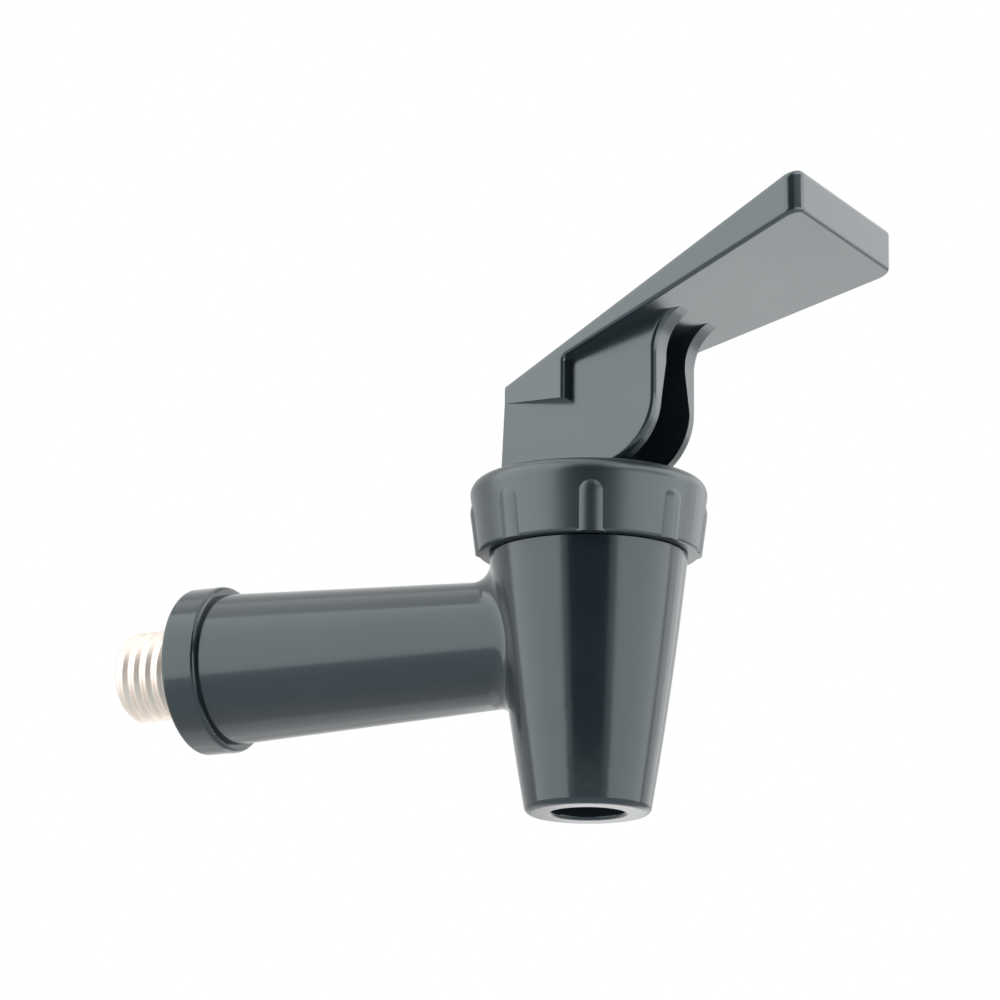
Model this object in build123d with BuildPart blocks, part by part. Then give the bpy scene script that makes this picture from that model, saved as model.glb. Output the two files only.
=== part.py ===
from build123d import *
import math
import os

os.makedirs("parts", exist_ok=True)

# Self-closing beverage faucet, in millimetres. The origin is the middle of the collar's
# seating face, on the shank's axis; +X points out of the dispenser's wall and +Z is up.

# Clearances
running_gap = 0.05
press_gap = 0.01
silicone_gap = 0.1
thread_gap = 0.1
cam_gap = 0.25
rim_gap = 0.2
stop_gap = 0.3

# Valve, from the stem outwards
stem_radius = 3.5
stem_flat = 3.0
sleeve_wall = 1.6
spring_gap = 0.7
wire_radius = 0.5
cup_gap = 1.0
cup_wall = 1.2
flow_gap = 2.8
neck_wall = 3.2
shoulder_width = 2.0
bonnet_wall = 3.85

# Valve, along its axis
rim_height = 14.3
neck_height = 7.2
cup_flange_thickness = 1.6
spring_pocket_depth = 1.7
bonnet_roof = 2.4
spring_length = 12.2
spring_turns = 5.5
stem_flange_thickness = 2.0
chamber_draft = 1.2
floor_margin = 2.5
spout_drop = 30.6

# Outlet
outlet_radius = 6.2
spout_wall = 4.5
spout_bulge = 0.35
spout_outer_round = 1.2
spout_inner_round = 0.6

# Seat cup and the stem's knob in it
knob_radius = 4.2
knob_height = 5.0
knob_neck_radius = 2.4
knob_neck_height = 2.2
knob_taper = 1.0
plug_floor = 3.6

# Shank, its collar and the metal nipple moulded into it
shank_reach = 75.6
inlet_radius = 4.5
shank_wall = 5.8
shank_draft = 3.0
shank_fillet = 4.0
collar_step = 1.4
collar_width = 6.6
collar_round = 0.8
nipple_radius = 7.94
nipple_length = 13.4
nipple_bore_radius = 4.5
nipple_chamfer = 1.0
insert_depth = 15.0
insert_step = 0.9
insert_groove_depth = 0.9
insert_groove_width = 2.5
insert_grooves = 2

# Bonnet
bonnet_flare = 1.7
bonnet_crown_height = 12.8
bonnet_crown_round = 2.4
bonnet_rim_round = 0.6
land_radius = 11.5
rib_count = 8
rib_start_angle = 25.8
rib_radius = 4.0
rib_proud = 0.4
rib_length = 7.3

# Handle: a fork that rides the bonnet on its cam, and a flared lever on top
pin_radius = 1.5
pin_chamfer = 0.3
pin_height = 9.2
cam_rise = 5.0
cam_turn = 56.0
press_limit = 36.0
cam_points = 7
nose_radius = 11.9
slot_half_width = 6.0
arch_half_width = 4.0
arch_foot = 2.6
arch_height = 7.0
cheek_thickness = 2.7
socket_depth = 1.6
pin_end_gap = 0.2
snap_depth = 1.2
snap_bite = 0.2
fork_back = 12.0
fork_heel = 0.6
fork_web = 3.0
fork_round = 1.0
fork_overlap = 1.0
blend_share = 0.45
blend_sink = 0.15
lever_reach = 48.1
lever_back_height = 16.35
lever_tilt = 25.5
lever_root_thickness = 2.6
lever_tip_thickness = 7.6
lever_roof = 2.4
lever_overhang = 1.3
lever_corner_round = 2.4
lever_edge_round = 0.8
tab_corner_round = 1.0
tab_length = 12.4
tab_height = 13.2
tab_drop = 0.75

# Levels that follow from the sizes above
neck_top = rim_height + neck_height
ledge_level = neck_top + cup_flange_thickness
ceiling_level = ledge_level + spring_pocket_depth
land_level = ceiling_level + bonnet_roof
pin_level = land_level + pin_height
lift = cam_rise * math.radians(press_limit)
flange_level = ceiling_level - spring_length
sleeve_level = flange_level + lift + stop_gap
floor_level = -inlet_radius - floor_margin

# Radii and half widths that follow, from the stem outwards
guide_radius = stem_radius + running_gap
sleeve_radius = guide_radius + sleeve_wall
spring_radius = sleeve_radius + spring_gap + wire_radius
spring_outer_radius = spring_radius + wire_radius
cup_inner_radius = spring_outer_radius + cup_gap
cup_outer_radius = cup_inner_radius + cup_wall
chamber_radius = cup_outer_radius + flow_gap
floor_radius = chamber_radius - chamber_draft
neck_radius = chamber_radius + neck_wall
body_radius = neck_radius + shoulder_width
bonnet_bore_radius = neck_radius + thread_gap
bonnet_radius = bonnet_bore_radius + bonnet_wall
spout_radius = outlet_radius + spout_wall
throat_level = floor_level - (floor_radius - outlet_radius)
shank_end_radius = inlet_radius + shank_wall
shank_root_radius = shank_end_radius + shank_draft
collar_radius = shank_root_radius + collar_step
insert_radius = nipple_radius + insert_step
fork_half_width = slot_half_width + cheek_thickness
lever_half_width = bonnet_radius + bonnet_flare + lever_overhang

# Working planes: the valve's section, its plan, and the handle's side view from the hinge
valve_axis = Axis((shank_reach, 0, 0), (0, 0, 1))
valve_section = Plane((shank_reach, 0, 0), x_dir=(1, 0, 0), z_dir=(0, -1, 0))
valve_plan = Plane((shank_reach, 0, 0))
handle_side = Plane((shank_reach, 0, pin_level), x_dir=(1, 0, 0), z_dir=(0, -1, 0))

# Barrel of the nipple, ringed with grooves that key it into the moulding
with BuildPart() as insert_barrel:
    with BuildSketch(Plane.XZ):
        with Locations((insert_depth / 2, insert_radius / 2)):
            Rectangle(insert_depth, insert_radius)
        groove_pitch = insert_depth / (insert_grooves + 1)
        for groove in range(insert_grooves):
            with Locations(((groove + 1) * groove_pitch, insert_radius - insert_groove_depth / 2)):
                Rectangle(insert_groove_width, insert_groove_depth, mode=Mode.SUBTRACT)
    revolve(axis=Axis.X)

# Metal nipple: the barrel and the threaded end that stands out of the collar
with BuildPart() as shank_nipple:
    add(insert_barrel.part)
    with BuildSketch(Plane.YZ):
        Circle(nipple_radius)
    extrude(amount=-nipple_length)
    chamfer(shank_nipple.edges().group_by(Axis.X)[0], nipple_chamfer)
    with BuildSketch(Plane.YZ.offset(insert_depth)):
        Circle(nipple_bore_radius)
    extrude(amount=-insert_depth - nipple_length, mode=Mode.SUBTRACT)
shank_nipple.part.label = "shank_nipple"

# Moulded body: conical spout, threaded neck and tapered shank in one piece
with BuildPart() as faucet_body:
    shoulder_level = rim_height - rim_gap
    with BuildSketch(valve_section):
        with BuildLine():
            side_middle = ((spout_radius + body_radius) / 2 + spout_bulge, (shoulder_level - spout_drop) / 2)
            Line((0, -spout_drop), (spout_radius, -spout_drop))
            ThreePointArc((spout_radius, -spout_drop), side_middle, (body_radius, shoulder_level))
            Line((body_radius, shoulder_level), (neck_radius, shoulder_level))
            Line((neck_radius, shoulder_level), (neck_radius, neck_top))
            Line((neck_radius, neck_top), (0, neck_top))
            Line((0, neck_top), (0, -spout_drop))
        make_face()
    revolve(axis=valve_axis)
    with BuildSketch(Plane.XZ):
        with BuildLine():
            Polyline(
                (0, 0),
                (0, collar_radius),
                (collar_width, collar_radius),
                (collar_width, shank_root_radius),
                (shank_reach, shank_end_radius),
                (shank_reach, 0),
                close=True,
            )
        make_face()
    revolve(axis=Axis.X)
    fillet(faucet_body.edges(Select.NEW), shank_fillet)
    collar_edges = faucet_body.edges().filter_by(GeomType.CIRCLE).filter_by_position(Axis.X, 0, collar_width)
    fillet(collar_edges.group_by(SortBy.RADIUS)[-1], collar_round)
    with BuildSketch(valve_section):
        with BuildLine():
            Polyline(
                (0, neck_top),
                (chamber_radius, neck_top),
                (floor_radius, floor_level),
                (outlet_radius, throat_level),
                (outlet_radius, -spout_drop),
                (0, -spout_drop),
                close=True,
            )
        make_face()
    revolve(axis=valve_axis, mode=Mode.SUBTRACT)
    spout_rings = faucet_body.edges().filter_by(GeomType.CIRCLE).group_by(Axis.Z)[0]
    fillet(spout_rings.sort_by(SortBy.RADIUS)[-1], spout_outer_round)
    spout_rings = faucet_body.edges().filter_by(GeomType.CIRCLE).group_by(Axis.Z)[0]
    fillet(spout_rings.sort_by(SortBy.RADIUS)[0], spout_inner_round)
    with BuildSketch(Plane.YZ):
        Circle(inlet_radius)
    extrude(amount=shank_reach, mode=Mode.SUBTRACT)
    add(insert_barrel.part, mode=Mode.SUBTRACT)
faucet_body.part.label = "faucet_body"

# One half-round grip rib, lying along the bonnet's flared wall
wall_slope = math.atan2(bonnet_flare, bonnet_crown_height)
rib_foot = bonnet_radius + rib_proud - rib_radius
rib_run = Plane(
    (rib_foot - rib_radius * math.sin(wall_slope), 0, rim_height - rib_radius * math.cos(wall_slope)),
    x_dir=(0, 1, 0),
    z_dir=(math.sin(wall_slope), 0, math.cos(wall_slope)),
)
with BuildPart() as grip_rib:
    with BuildSketch(rib_run):
        Circle(rib_radius)
    extrude(amount=rib_radius + rib_length)
    with Locations(rib_run.offset(rib_radius + rib_length)):
        Sphere(rib_radius)
    split(bisect_by=Plane.XY.offset(rim_height), keep=Keep.TOP)

# Bonnet: ribbed screw cap with the stem's guide sleeve inside
with BuildPart(valve_plan) as bonnet:
    with BuildSketch(valve_section) as bonnet_outline:
        with BuildLine():
            Polyline(
                (0, rim_height),
                (bonnet_radius, rim_height),
                (bonnet_radius + bonnet_flare, rim_height + bonnet_crown_height),
                (land_radius, land_level),
                (0, land_level),
                close=True,
            )
        make_face()
        fillet(bonnet_outline.vertices().sort_by(Axis.X)[-2], bonnet_rim_round)
        fillet(bonnet_outline.vertices().sort_by(Axis.X)[-1], bonnet_crown_round)
    revolve(axis=valve_axis)
    with PolarLocations(0, rib_count, rib_start_angle):
        add(grip_rib.part)
    with BuildSketch(valve_section):
        with BuildLine():
            Polyline(
                (0, rim_height),
                (bonnet_bore_radius, rim_height),
                (bonnet_bore_radius, ledge_level),
                (cup_inner_radius, ledge_level),
                (cup_inner_radius, ceiling_level),
                (sleeve_radius, ceiling_level),
                (sleeve_radius, sleeve_level),
                (0, sleeve_level),
                close=True,
            )
        make_face()
    revolve(axis=valve_axis, mode=Mode.SUBTRACT)
    with BuildSketch(valve_plan.offset(sleeve_level)):
        Circle(guide_radius)
        Rectangle(2 * guide_radius, 2 * (stem_flat + running_gap), mode=Mode.INTERSECT)
    extrude(amount=land_level - sleeve_level, mode=Mode.SUBTRACT)
bonnet.part.label = "bonnet"

# Silicone seat cup: clamped flange, thin flexing wall and the plug that closes the throat
plug_level = throat_level + (cup_outer_radius - outlet_radius) / 2
knob_level = plug_level + plug_floor
socket_top = knob_level + knob_height
cup_floor_level = socket_top + knob_neck_height
with BuildPart() as seat_cup:
    seat_shift = silicone_gap * math.sqrt(2)
    plug_radius = outlet_radius + (plug_level - throat_level) - seat_shift
    cone_top_level = plug_level + (cup_outer_radius - plug_radius)
    with BuildSketch(valve_section):
        with BuildLine():
            Polyline(
                (0, plug_level),
                (plug_radius, plug_level),
                (cup_outer_radius, cone_top_level),
                (cup_outer_radius, neck_top),
                (neck_radius, neck_top),
                (neck_radius, ledge_level),
                (cup_inner_radius, ledge_level),
                (cup_inner_radius, cup_floor_level),
                (knob_neck_radius + silicone_gap, cup_floor_level),
                (knob_neck_radius + silicone_gap, socket_top + silicone_gap),
                (knob_radius + silicone_gap, socket_top - knob_taper + silicone_gap),
                (knob_radius + silicone_gap, knob_level - silicone_gap),
                (0, knob_level - silicone_gap),
                close=True,
            )
        make_face()
    revolve(axis=valve_axis)
seat_cup.part.label = "seat_cup"

# Valve stem: knob, spring flange and a double-flat shaft with the hinge pin's eye
with BuildPart() as valve_stem:
    with BuildSketch(valve_section):
        with BuildLine():
            Polyline(
                (0, knob_level),
                (knob_radius, knob_level),
                (knob_radius, socket_top - knob_taper),
                (knob_neck_radius, socket_top),
                (knob_neck_radius, flange_level - stem_flange_thickness),
                (spring_outer_radius, flange_level - stem_flange_thickness),
                (spring_outer_radius, flange_level),
                (0, flange_level),
                close=True,
            )
        make_face()
    revolve(axis=valve_axis)
    with BuildSketch(valve_plan.offset(flange_level)):
        Circle(stem_radius)
        Rectangle(2 * stem_radius, 2 * stem_flat, mode=Mode.INTERSECT)
    extrude(amount=pin_level + stem_radius - flange_level)
    fillet(valve_stem.faces().sort_by(Axis.Z)[-1].edges(), stem_radius / 2)
    with BuildSketch(handle_side):
        Circle(pin_radius + press_gap)
    extrude(amount=stem_radius, both=True, mode=Mode.SUBTRACT)
valve_stem.part.label = "valve_stem"

# Hinge pin, pressed through the stem with both ends free in the fork's sockets
with BuildPart() as hinge_pin:
    with BuildSketch(handle_side):
        Circle(pin_radius)
    extrude(amount=slot_half_width + socket_depth - pin_end_gap, both=True)
    chamfer(hinge_pin.edges().filter_by(GeomType.CIRCLE), pin_chamfer)
hinge_pin.part.label = "hinge_pin"

# Return spring, ground flat at both ends
with BuildPart() as return_spring:
    spring_pitch = spring_length / spring_turns
    with BuildLine() as spring_wire:
        Helix(
            pitch=spring_pitch,
            height=spring_length,
            radius=spring_radius,
            center=(shank_reach, 0, flange_level),
        )
    with BuildSketch(Plane(spring_wire.line @ 0, z_dir=spring_wire.line % 0)):
        Circle(wire_radius)
    sweep(is_frenet=True)
    split(bisect_by=Plane.XY.offset(ceiling_level), keep=Keep.BOTTOM)
    split(bisect_by=Plane.XY.offset(flange_level), keep=Keep.TOP)
return_spring.part.label = "return_spring"


def cam_point(turn):
    """Point of the cam that meets the bonnet's land when the handle has turned this far."""
    reach = pin_height - cam_gap + cam_rise * turn
    return (
        reach * math.sin(turn) + cam_rise * math.cos(turn),
        cam_rise * math.sin(turn) - reach * math.cos(turn),
    )


# Heights of the handle's side view, measured from the hinge
back_level = lever_back_height - pin_height
tab_level = tab_height - pin_height
tab_front = tab_length - fork_back
top_rise = math.tan(math.radians(lever_tilt))
root_under_level = back_level + tab_length * top_rise - lever_root_thickness
tip_level = back_level + (fork_back + lever_reach) * top_rise
tip_under_level = tip_level - lever_tip_thickness
under_rise = (tip_under_level - root_under_level) / (lever_reach - tab_front)


def under_level(x):
    """Height of the lever's underside at a distance in front of the hinge."""
    return tip_under_level - (lever_reach - x) * under_rise


# Outline of the fork: the cam and the rounded nose lead up to the cheeks' upright fronts, which
# sweep forward under the lever
cam_end = math.radians(cam_turn)
cam_curve = [cam_point(cam_end * step / (cam_points - 1)) for step in range(cam_points)]
fork_front = cam_curve[-1][0] + nose_radius * (1 - math.sin(cam_end))
nose_top = cam_curve[-1][1] + nose_radius * math.cos(cam_end)
blend_corner = under_level(fork_front) + blend_sink
blend_run = blend_share * (blend_corner - nose_top)
blend_front = fork_front + blend_run * math.cos(math.atan(under_rise))
with BuildPart() as fork:
    with BuildSketch(handle_side):
        with BuildLine():
            cam = Spline(*cam_curve, tangents=[(1, 0), (math.cos(cam_end), math.sin(cam_end))])
            nose = TangentArc(cam @ 1, (fork_front, nose_top), tangent=cam % 1)
            front = Line(nose @ 1, (fork_front, blend_corner - blend_run))
            blend = TangentArc(front @ 1, (blend_front, under_level(blend_front) + blend_sink), tangent=(0, 1))
            Polyline(
                blend @ 1,
                (blend_front, under_level(blend_front) + fork_overlap),
                (tab_front, under_level(tab_front) + fork_overlap),
                (-fork_back, tab_level + fork_overlap),
                (-fork_back, tab_level),
                (-fork_back - fork_heel, cam_gap - pin_height),
                cam @ 0,
            )
        make_face()
    extrude(amount=fork_half_width, both=True)
    cheek_faces = fork.faces().sort_by(Axis.Y)
    cheek_edges = cheek_faces[0].edges() + cheek_faces[-1].edges()
    fillet(cheek_edges.filter_by(GeomType.CIRCLE), fork_round)

# Slot for the stem: open in front and below, and arched in to a narrower top between the cheeks
with BuildPart() as stem_slot:
    with BuildSketch(handle_side):
        with BuildLine():
            slot_back = fork_web - fork_back
            Polyline(
                (slot_back, -pin_height),
                (slot_back, back_level + fork_web * top_rise - lever_roof),
                (tab_front, under_level(tab_front)),
                (blend_front, under_level(blend_front)),
                (blend_front, -pin_height),
                close=True,
            )
        make_face()
    extrude(amount=slot_half_width, both=True)
    arch_top = arch_foot + arch_height
    slot_top = under_level(blend_front)
    with BuildSketch(Plane((shank_reach + slot_back, 0, pin_level), x_dir=(0, 1, 0), z_dir=(1, 0, 0))):
        with BuildLine():
            Polyline(
                (-slot_half_width, -pin_height),
                (slot_half_width, -pin_height),
                (slot_half_width, arch_foot),
                (arch_half_width, arch_top),
                (arch_half_width, arch_top + slot_top),
                (-arch_half_width, arch_top + slot_top),
                (-arch_half_width, arch_top),
                (-slot_half_width, arch_foot),
                close=True,
            )
        make_face()
    extrude(amount=blend_front - slot_back, mode=Mode.INTERSECT)

# Handle: flared lever with its rear tab, the fork below it and the slot for the stem. The round
# on the tip's edges runs on round its corners and along both sides.
with BuildPart() as lever_handle:
    with BuildSketch(handle_side) as lever_outline:
        with BuildLine():
            Polyline(
                (-fork_back, tab_level),
                (-fork_back, back_level),
                (lever_reach, tip_level),
                (lever_reach, tip_under_level),
                (tab_front, under_level(tab_front)),
                (tab_front, tab_level - tab_drop),
                close=True,
            )
        make_face()
        tab_corner = lever_outline.vertices().sort_by_distance((tab_front, under_level(tab_front)))[0]
        fillet(tab_corner, tab_corner_round)
    extrude(amount=lever_half_width, both=True)
    with BuildSketch(valve_plan):
        with BuildLine():
            Polyline(
                (-fork_back, -fork_half_width),
                (lever_reach, -lever_half_width),
                (lever_reach, lever_half_width),
                (-fork_back, fork_half_width),
                close=True,
            )
        make_face()
    extrude(amount=pin_level + tip_level, mode=Mode.INTERSECT)
    fillet(lever_handle.edges().filter_by(Axis.Z).group_by(Axis.X)[-1], lever_corner_round)
    fillet(lever_handle.faces().sort_by(Axis.X)[-1].edges(), lever_edge_round)
    add(fork.part)
    add(stem_slot.part, mode=Mode.SUBTRACT)
    with BuildSketch(handle_side):
        Circle(pin_radius + running_gap)
    extrude(amount=slot_half_width + socket_depth, both=True, mode=Mode.SUBTRACT)
    with BuildSketch(handle_side):
        with Locations((0, -pin_height / 2)):
            Rectangle(2 * (pin_radius - snap_bite), pin_height)
    extrude(amount=slot_half_width + snap_depth, both=True, mode=Mode.SUBTRACT)
lever_handle.part.label = "lever_handle"

export_step(faucet_body.part, "parts/faucet_body.step")
export_step(shank_nipple.part, "parts/shank_nipple.step")
export_step(bonnet.part, "parts/bonnet.step")
export_step(seat_cup.part, "parts/seat_cup.step")
export_step(valve_stem.part, "parts/valve_stem.step")
export_step(hinge_pin.part, "parts/hinge_pin.step")
export_step(return_spring.part, "parts/return_spring.step")
export_step(lever_handle.part, "parts/lever_handle.step")
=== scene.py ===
import math

import bmesh
import bpy
from mathutils import Matrix, Vector


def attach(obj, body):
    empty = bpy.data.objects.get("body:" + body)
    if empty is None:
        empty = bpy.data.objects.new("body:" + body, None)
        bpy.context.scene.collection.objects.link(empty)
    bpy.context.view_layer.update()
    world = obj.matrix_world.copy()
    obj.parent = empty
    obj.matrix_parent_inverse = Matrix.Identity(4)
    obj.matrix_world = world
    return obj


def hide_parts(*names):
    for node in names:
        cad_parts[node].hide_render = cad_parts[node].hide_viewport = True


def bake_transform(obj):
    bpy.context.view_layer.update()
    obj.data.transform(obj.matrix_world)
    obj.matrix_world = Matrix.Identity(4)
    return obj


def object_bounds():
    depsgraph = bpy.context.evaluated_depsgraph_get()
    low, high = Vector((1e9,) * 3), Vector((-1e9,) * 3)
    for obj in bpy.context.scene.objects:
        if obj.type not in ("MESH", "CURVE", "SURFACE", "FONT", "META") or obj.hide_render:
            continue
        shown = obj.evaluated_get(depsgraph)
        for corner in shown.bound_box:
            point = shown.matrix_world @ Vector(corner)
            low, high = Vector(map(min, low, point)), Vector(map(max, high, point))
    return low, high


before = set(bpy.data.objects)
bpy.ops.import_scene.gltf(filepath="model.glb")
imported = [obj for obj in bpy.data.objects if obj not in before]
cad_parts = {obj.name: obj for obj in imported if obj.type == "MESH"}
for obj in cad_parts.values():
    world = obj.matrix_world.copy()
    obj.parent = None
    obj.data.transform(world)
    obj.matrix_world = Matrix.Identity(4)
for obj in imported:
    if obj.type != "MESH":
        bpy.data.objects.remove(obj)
cad_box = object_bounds()
scene = bpy.context.scene
scene.view_settings.view_transform = "Standard"

# Beverage faucet in metres, in the CAD frame: the origin is the middle of the collar's seating
# face, +X runs along the shank towards the lever's front, and +Z is up along the valve.
mm = 0.001

# Camera, as fitted to the photograph: it stands in front to the right and looks slightly up
camera_place = Vector((0.4317, -0.7719, -0.1798))
camera_azimuth = math.radians(25.795)
camera_rise = math.radians(13.482)
camera_roll = math.radians(0.444)
camera_lens = 183.04
sensor_width = 36.0
clip_near = 0.01
clip_far = 50

# Studio: a pale floor, softboxes beside the camera and behind, and cards that only the gloss mirrors.
# Each softbox has a turn from the camera, a rise, a distance, a width, a height and a radiance;
# each standing card has a turn from the camera, a half width, a foot and a top.
floor_level = -0.62
floor_size = 8.0
floor_glow = 0.8
softboxes = {
    "softbox_left": (-68, 22, 1.00, 1.55, 1.60, 2.25),
    "softbox_right": (69, 22, 1.00, 1.60, 1.60, 2.1),
    "softbox_top": (0, 88, 1.00, 1.20, 1.20, 0.8),
    "back_low": (160, -27, 0.90, 0.60, 0.46, 1.05),
    "back_under": (196, -50, 0.70, 0.60, 0.50, 0.45),
    "back_right": (129, 14, 0.90, 0.60, 0.60, 0.95),
}
card_distance = 0.80
standing_cards = {
    "front_card": (0, 0.36, -0.14, 0.75),
    "right_card": (47, 0.60, 0.22, 0.40),
}
low_card_level = -0.30
low_card_near = 0.02
low_card_far = 1.10
low_card_half_width = 0.80
world_fill = 0.35

# Nipple, threaded 11 to the inch
nipple_radius = 7.94 * mm
nipple_bore_radius = 4.5 * mm
nipple_length = 13.4 * mm
nipple_chamfer = 1.0 * mm
insert_depth = 15.0 * mm
insert_radius = 8.84 * mm
insert_grooves = 2
insert_groove_width = 2.5 * mm
insert_groove_radius = 7.94 * mm
thread_pitch = 25.4 * mm / 11
thread_depth = 0.55 * mm
thread_relief = 1.2 * mm
thread_fade = 1.0 * mm
thread_slope = 1.35
thread_crest = 0.15
rings_per_pitch = 16

# Valve parts that flex; the cup's profile is in millimetres from the valve's axis and up along it
valve_x = 75.6 * mm
spring_radius = 6.35 * mm
wire_radius = 0.5 * mm
spring_turns = 5.5
spring_foot = 12.6 * mm
spring_top = 24.8 * mm
wire_steps = 48
wire_sides = 12
cup_profile = [
    (0, -10.025),
    (7.484, -10.025),
    (9.05, -8.459),
    (9.05, 21.5),
    (15.05, 21.5),
    (15.05, 23.1),
    (7.85, 23.1),
    (7.85, 0.775),
    (2.5, 0.775),
    (2.5, -1.325),
    (4.3, -2.325),
    (4.3, -6.525),
    (0, -6.525),
]
cup_step = 1.5

# Meshes, and the span of a noise texture that finishes spread their tones over
ring_points = 96
sharp_angle = math.radians(35)
weld_distance = 0.001 * mm
noise_low = 0.3
noise_high = 0.7


def place_camera():
    """Camera with the photograph's place, direction, roll and lens."""
    forward = Vector(
        (
            -math.sin(camera_azimuth) * math.cos(camera_rise),
            math.cos(camera_azimuth) * math.cos(camera_rise),
            math.sin(camera_rise),
        )
    )
    level = Vector((math.cos(camera_azimuth), math.sin(camera_azimuth), 0))
    upright = level.cross(forward)
    right = level * math.cos(camera_roll) + upright * math.sin(camera_roll)
    up = upright * math.cos(camera_roll) - level * math.sin(camera_roll)
    data = bpy.data.cameras.new("camera")
    data.lens = camera_lens
    data.sensor_width = sensor_width
    data.clip_start = clip_near
    data.clip_end = clip_far
    camera = bpy.data.objects.new("camera", data)
    camera.matrix_world = Matrix(
        (
            (right.x, up.x, -forward.x, camera_place.x),
            (right.y, up.y, -forward.y, camera_place.y),
            (right.z, up.z, -forward.z, camera_place.z),
            (0, 0, 0, 1),
        )
    )
    scene.collection.objects.link(camera)
    scene.camera = camera


place_camera()
aim = (cad_box[0] + cad_box[1]) / 2


def around(turn, distance, level):
    """Point beside the object, turned this many degrees from the camera's own direction."""
    angle = camera_azimuth + math.radians(turn)
    return Vector((aim.x + distance * math.sin(angle), aim.y - distance * math.cos(angle), level))


def softbox(name, turn, rise, distance, width, height, radiance):
    """Rectangular area light that faces the object from a direction."""
    data = bpy.data.lights.new(name, "AREA")
    data.shape = "RECTANGLE"
    data.size = width
    data.size_y = height
    data.energy = radiance * math.pi * width * height
    lamp = bpy.data.objects.new(name, data)
    tilt = math.radians(rise)
    lamp.location = around(turn, distance * math.cos(tilt), aim.z + distance * math.sin(tilt))
    lamp.rotation_mode = "QUATERNION"
    lamp.rotation_quaternion = (lamp.location - aim).to_track_quat("Z", "Y")
    lamp.visible_camera = False
    scene.collection.objects.link(lamp)


for lamp_name, lamp_sizes in softboxes.items():
    softbox(lamp_name, *lamp_sizes)


def shown_ray(nodes, links):
    """One for rays that meet the studio straight, by reflection or through a clear piece, else zero."""
    path = nodes.new("ShaderNodeLightPath")
    shown = path.outputs["Is Camera Ray"]
    for kind in ("Is Glossy Ray", "Is Transmission Ray"):
        either = nodes.new("ShaderNodeMath")
        either.operation = "MAXIMUM"
        links.new(shown, either.inputs[0])
        links.new(path.outputs[kind], either.inputs[1])
        shown = either.outputs[0]
    return shown


def light_the_world():
    """White world for what looks at it straight or by reflection, and a soft grey fill otherwise."""
    world = bpy.data.worlds.new("studio")
    world.use_nodes = True
    scene.world = world
    nodes, links = world.node_tree.nodes, world.node_tree.links
    nodes.clear()
    fill = nodes.new("ShaderNodeBackground")
    fill.inputs["Color"].default_value = (1, 1, 1, 1)
    fill.inputs["Strength"].default_value = world_fill
    white = nodes.new("ShaderNodeBackground")
    white.inputs["Color"].default_value = (1, 1, 1, 1)
    white.inputs["Strength"].default_value = 1.0
    mix = nodes.new("ShaderNodeMixShader")
    links.new(shown_ray(nodes, links), mix.inputs[0])
    links.new(fill.outputs[0], mix.inputs[1])
    links.new(white.outputs[0], mix.inputs[2])
    out = nodes.new("ShaderNodeOutputWorld")
    links.new(mix.outputs[0], out.inputs["Surface"])


light_the_world()


class Finish:
    """A procedural material: a Principled shader with textures in the object's own metres."""

    def __init__(self, name, metallic=0.0, **constants):
        self.material = bpy.data.materials.new(name)
        self.material.use_nodes = True
        self.nodes = self.material.node_tree.nodes
        self.links = self.material.node_tree.links
        self.shader = self.nodes["Principled BSDF"]
        self.coords = self.nodes.new("ShaderNodeTexCoord")
        self.shader.inputs["Metallic"].default_value = metallic
        for socket, value in constants.items():
            self.shader.inputs[socket.replace("_", " ")].default_value = value

    def noise(self, scale, detail=2.0, stretch=(1, 1, 1)):
        """Noise texture, which may be stretched along an axis."""
        place = self.nodes.new("ShaderNodeMapping")
        place.inputs["Scale"].default_value = stretch
        self.links.new(self.coords.outputs["Object"], place.inputs["Vector"])
        texture = self.nodes.new("ShaderNodeTexNoise")
        texture.inputs["Scale"].default_value = scale
        texture.inputs["Detail"].default_value = detail
        self.links.new(place.outputs[0], texture.inputs["Vector"])
        return texture.outputs["Fac"]

    def colour(self, factor, low, high):
        """Base colour between two tones."""
        ramp = self.nodes.new("ShaderNodeValToRGB")
        ramp.color_ramp.elements[0].position = noise_low
        ramp.color_ramp.elements[0].color = (*low, 1)
        ramp.color_ramp.elements[1].position = noise_high
        ramp.color_ramp.elements[1].color = (*high, 1)
        self.links.new(factor, ramp.inputs[0])
        self.links.new(ramp.outputs[0], self.shader.inputs["Base Color"])

    def roughness(self, factor, low, high):
        """Roughness between two values."""
        span = self.nodes.new("ShaderNodeMapRange")
        span.inputs["From Min"].default_value = noise_low
        span.inputs["From Max"].default_value = noise_high
        span.inputs["To Min"].default_value = low
        span.inputs["To Max"].default_value = high
        self.links.new(factor, span.inputs["Value"])
        self.links.new(span.outputs[0], self.shader.inputs["Roughness"])

    def bump(self, factor, strength, depth):
        """Fine unevenness of the surface."""
        bump = self.nodes.new("ShaderNodeBump")
        bump.inputs["Strength"].default_value = strength
        bump.inputs["Distance"].default_value = depth
        self.links.new(factor, bump.inputs["Height"])
        self.links.new(bump.outputs[0], self.shader.inputs["Normal"])


def moulded(name, gloss, smooth, rough):
    """Near-black moulded plastic, a little bluish, with a share of gloss and a span of roughness."""
    made = Finish(name, IOR=1.5, Specular_IOR_Level=gloss, Specular_Tint=(0.87, 0.98, 1, 1))
    made.colour(made.noise(45), (0.008, 0.013, 0.017), (0.011, 0.017, 0.021))
    made.roughness(made.noise(70, 4), smooth, rough)
    made.bump(made.noise(900), 0.05, 0.1 * mm)
    return made


body_plastic = moulded("body_plastic", 0.56, 0.14, 0.19)
bonnet_plastic = moulded("bonnet_plastic", 0.78, 0.29, 0.35)
handle_plastic = moulded("handle_plastic", 0.85, 0.18, 0.24)

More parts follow.
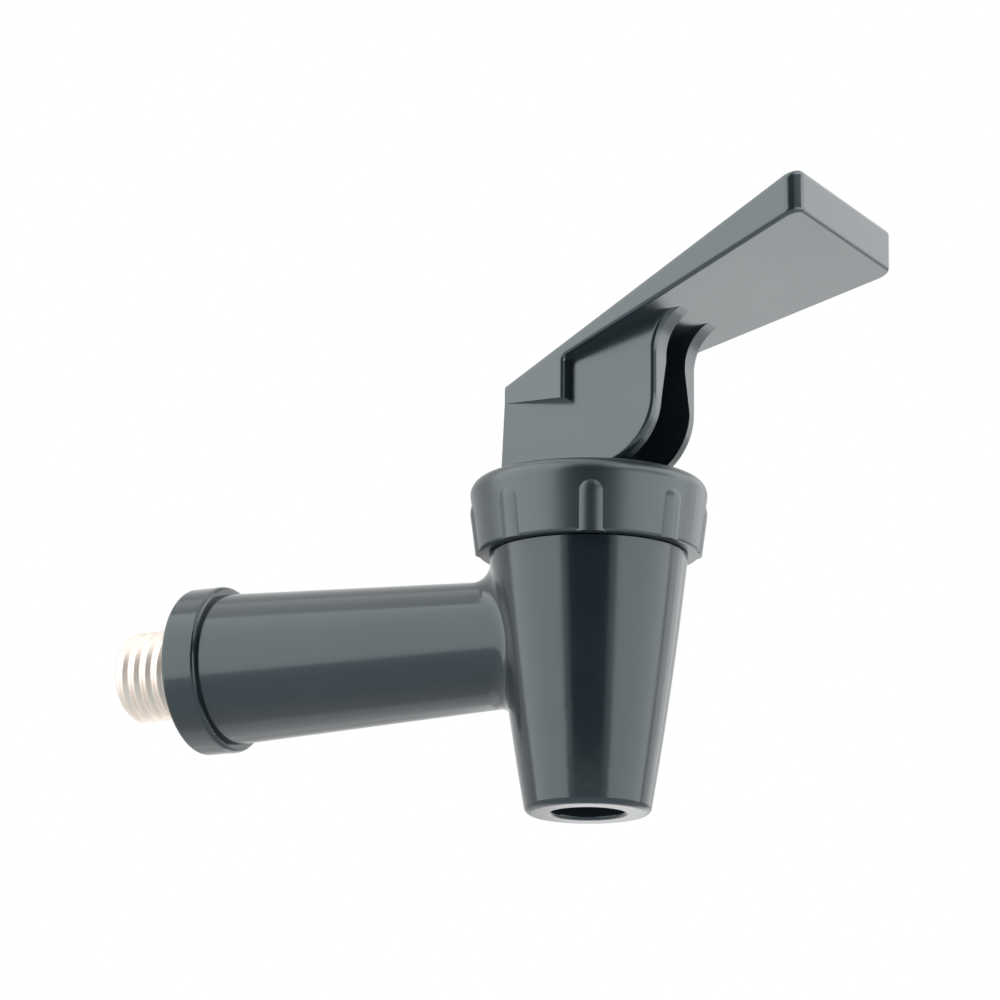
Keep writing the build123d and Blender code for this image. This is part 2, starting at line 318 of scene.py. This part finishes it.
turned = (0.2, 1, 1)
nipple_metal = Finish("nipple_metal", metallic=1.0)
nipple_metal.colour(nipple_metal.noise(220, 3), (0.66, 0.59, 0.525), (0.72, 0.64, 0.575))
nipple_metal.roughness(nipple_metal.noise(500, 3, turned), 0.46, 0.56)
nipple_metal.bump(nipple_metal.noise(1800, 2, turned), 0.08, 0.05 * mm)

stem_plastic = Finish("stem_plastic", IOR=1.48)
stem_plastic.colour(stem_plastic.noise(120), (0.014, 0.015, 0.016), (0.020, 0.021, 0.022))
stem_plastic.roughness(stem_plastic.noise(300, 3), 0.38, 0.5)
stem_plastic.bump(stem_plastic.noise(1500), 0.06, 0.05 * mm)

silicone = Finish("silicone", IOR=1.41, Subsurface_Weight=0.2, Subsurface_Scale=0.002)
silicone.colour(silicone.noise(160, 3), (0.72, 0.71, 0.67), (0.80, 0.79, 0.75))
silicone.roughness(silicone.noise(400, 2), 0.42, 0.55)
silicone.bump(silicone.noise(1200), 0.05, 0.05 * mm)

steel = Finish("steel", metallic=1.0)
steel.colour(steel.noise(300, 3), (0.55, 0.55, 0.54), (0.65, 0.65, 0.64))
steel.roughness(steel.noise(900, 3), 0.22, 0.34)
steel.bump(steel.noise(2500), 0.05, 0.02 * mm)

node_finish = {
    "faucet_body": body_plastic,
    "bonnet": bonnet_plastic,
    "lever_handle": handle_plastic,
    "valve_stem": stem_plastic,
    "hinge_pin": steel,
}
for node, finish in node_finish.items():
    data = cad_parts[node].data
    data.materials.clear()
    data.materials.append(finish.material)


def piece(name, points, faces, finish):
    """New smooth-shaded mesh piece."""
    data = bpy.data.meshes.new(name)
    data.from_pydata(points, [], faces)
    data.validate()
    data.materials.append(finish.material)
    data.shade_smooth()
    made = bpy.data.objects.new(name, data)
    scene.collection.objects.link(made)
    return made


def band_faces(rings, points_per_ring, closed):
    """Quads between each ring of points and the next."""
    faces = []
    for ring in range(rings if closed else rings - 1):
        below = ring * points_per_ring
        above = (ring + 1) % rings * points_per_ring
        for k in range(points_per_ring):
            nxt = (k + 1) % points_per_ring
            faces.append((below + k, below + nxt, above + nxt, above + k))
    return faces


def close(made):
    """Weld points that coincide, turn every side outwards and keep the sharp edges crisp."""
    shape = bmesh.new()
    shape.from_mesh(made.data)
    bmesh.ops.remove_doubles(shape, verts=shape.verts, dist=weld_distance)
    bmesh.ops.recalc_face_normals(shape, faces=shape.faces)
    shape.to_mesh(made.data)
    shape.free()
    made.data.set_sharp_from_angle(angle=sharp_angle)
    return made


def thread_radius(x, turn):
    """Nipple's radius at a place along its axis and a share of a turn round it."""
    phase = (x / thread_pitch + turn) % 1.0
    flank = 2 * abs(phase - 0.5)
    dip = min(1.0, max(0.0, thread_slope * flank - thread_crest))
    cut = min(1.0, max(0.0, (-x - thread_relief) / thread_fade))
    radius = nipple_radius - thread_depth * (1 - cut + cut * dip)
    from_end = x + nipple_length
    return min(radius, nipple_radius - nipple_chamfer + from_end)


def even(radius):
    """Radius that is the same all the way round."""
    return lambda turn: radius


def threaded_nipple():
    """Nipple with its cut thread, the barrel in the moulding and the bore through both."""
    steps = rings_per_pitch * round(nipple_length / thread_pitch)
    rings = [(insert_depth, even(nipple_bore_radius)), (insert_depth, even(insert_radius))]
    for groove in range(insert_grooves, 0, -1):
        middle = insert_depth * groove / (insert_grooves + 1)
        inner = middle + insert_groove_width / 2
        outer = middle - insert_groove_width / 2
        rings += [(inner, even(insert_radius)), (inner, even(insert_groove_radius))]
        rings += [(outer, even(insert_groove_radius)), (outer, even(insert_radius))]
    rings.append((0.0, even(insert_radius)))
    for step in range(steps + 1):
        x = -nipple_length * step / steps
        rings.append((x, lambda turn, x=x: thread_radius(x, turn)))
    rings.append((-nipple_length, even(nipple_bore_radius)))
    points = []
    for x, radius_at in rings:
        for k in range(ring_points):
            turn = k / ring_points
            radius = radius_at(turn)
            angle = 2 * math.pi * turn
            points.append((x, radius * math.cos(angle), radius * math.sin(angle)))
    faces = band_faces(len(rings), ring_points, True)
    return close(piece("threaded_nipple", points, faces, nipple_metal))


nipple = threaded_nipple()
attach(nipple, "faucet")
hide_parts("shank_nipple")


def return_spring():
    """Coil of round wire, ground flat where it meets the bonnet and the stem's flange."""
    steps = round(wire_steps * spring_turns)
    points = []
    for step in range(steps + 1):
        share = step / steps
        turn = 2 * math.pi * spring_turns * share
        middle = spring_foot + (spring_top - spring_foot) * share
        for side in range(wire_sides):
            angle = 2 * math.pi * side / wire_sides
            radius = spring_radius + wire_radius * math.cos(angle)
            level = min(spring_top, max(spring_foot, middle + wire_radius * math.sin(angle)))
            points.append((valve_x + radius * math.cos(turn), radius * math.sin(turn), level))
    faces = band_faces(steps + 1, wire_sides, False)
    faces.append(tuple(range(wire_sides)))
    faces.append(tuple(range(steps * wire_sides, (steps + 1) * wire_sides)))
    return close(piece("coil_spring", points, faces, steel))


spring = return_spring()
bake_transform(spring)
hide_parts("return_spring")


def seat_cup():
    """Silicone cup turned about the valve's axis, in short steps so that its wall can flex."""
    profile = []
    for (r0, z0), (r1, z1) in zip(cup_profile, cup_profile[1:]):
        steps = max(1, round(math.hypot(r1 - r0, z1 - z0) / cup_step))
        for step in range(steps):
            share = step / steps
            profile.append((r0 + (r1 - r0) * share, z0 + (z1 - z0) * share))
    profile.append(cup_profile[-1])
    points = []
    for radius, level in profile:
        for k in range(ring_points):
            angle = 2 * math.pi * k / ring_points
            across_x, across_y = radius * mm * math.cos(angle), radius * mm * math.sin(angle)
            points.append((valve_x + across_x, across_y, level * mm))
    faces = band_faces(len(profile), ring_points, False)
    return close(piece("flexing_cup", points, faces, silicone))


cup = seat_cup()
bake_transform(cup)
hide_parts("seat_cup")


def card(name, corners, finish):
    """Flat card that only shows in reflections, as a studio's flag does."""
    made = piece(name, corners, [(0, 1, 2, 3)], finish)
    made.visible_camera = False
    made.visible_diffuse = False
    made.visible_shadow = False
    made.visible_transmission = False


def across(turn, distance, half_width, level):
    """Both ends of a level line that stands square to a direction from the object."""
    middle = around(turn, distance, level)
    angle = camera_azimuth + math.radians(turn)
    side = Vector((math.cos(angle), math.sin(angle), 0)) * half_width
    return [middle - side, middle + side]


def studio_cards():
    """Black cards round the camera and beside it, and a grey one below in front."""
    black = Finish("card_black")
    black.colour(black.noise(4), (0.003, 0.004, 0.005), (0.005, 0.006, 0.007))
    black.roughness(black.noise(6), 0.85, 0.95)
    for name, (turn, half_width, foot, top) in standing_cards.items():
        low = across(turn, card_distance, half_width, foot)
        high = across(turn, card_distance, half_width, top)
        card(name, [low[0], low[1], high[1], high[0]], black)
    grey = Finish("card_grey")
    grey.colour(grey.noise(4), (0.63, 0.69, 0.72), (0.67, 0.73, 0.76))
    grey.roughness(grey.noise(6), 0.85, 0.95)
    near = across(0, low_card_near, low_card_half_width, low_card_level)
    far = across(0, low_card_far, low_card_half_width, low_card_level)
    card("low_card", [near[0], near[1], far[1], far[0]], grey)


studio_cards()


def floor():
    """Plain pale floor far below the faucet, which hangs from its wall."""
    half = floor_size / 2
    corners = [(-half, -half), (half, -half), (half, half), (-half, half)]
    pale = Finish("pale_floor")
    pale.colour(pale.noise(3), (0.78, 0.78, 0.77), (0.82, 0.82, 0.81))
    pale.roughness(pale.noise(8), 0.7, 0.8)
    share = pale.nodes.new("ShaderNodeMath")
    share.operation = "MULTIPLY"
    pale.links.new(shown_ray(pale.nodes, pale.links), share.inputs[0])
    share.inputs[1].default_value = floor_glow
    glow = pale.nodes.new("ShaderNodeEmission")
    mix = pale.nodes.new("ShaderNodeMixShader")
    pale.links.new(share.outputs[0], mix.inputs[0])
    pale.links.new(pale.shader.outputs[0], mix.inputs[1])
    pale.links.new(glow.outputs[0], mix.inputs[2])
    pale.links.new(mix.outputs[0], pale.nodes["Material Output"].inputs["Surface"])
    pale.material.cycles.emission_sampling = "NONE"
    made = piece("floor", [(x, y, floor_level) for x, y in corners], [(0, 1, 2, 3)], pale)


floor()
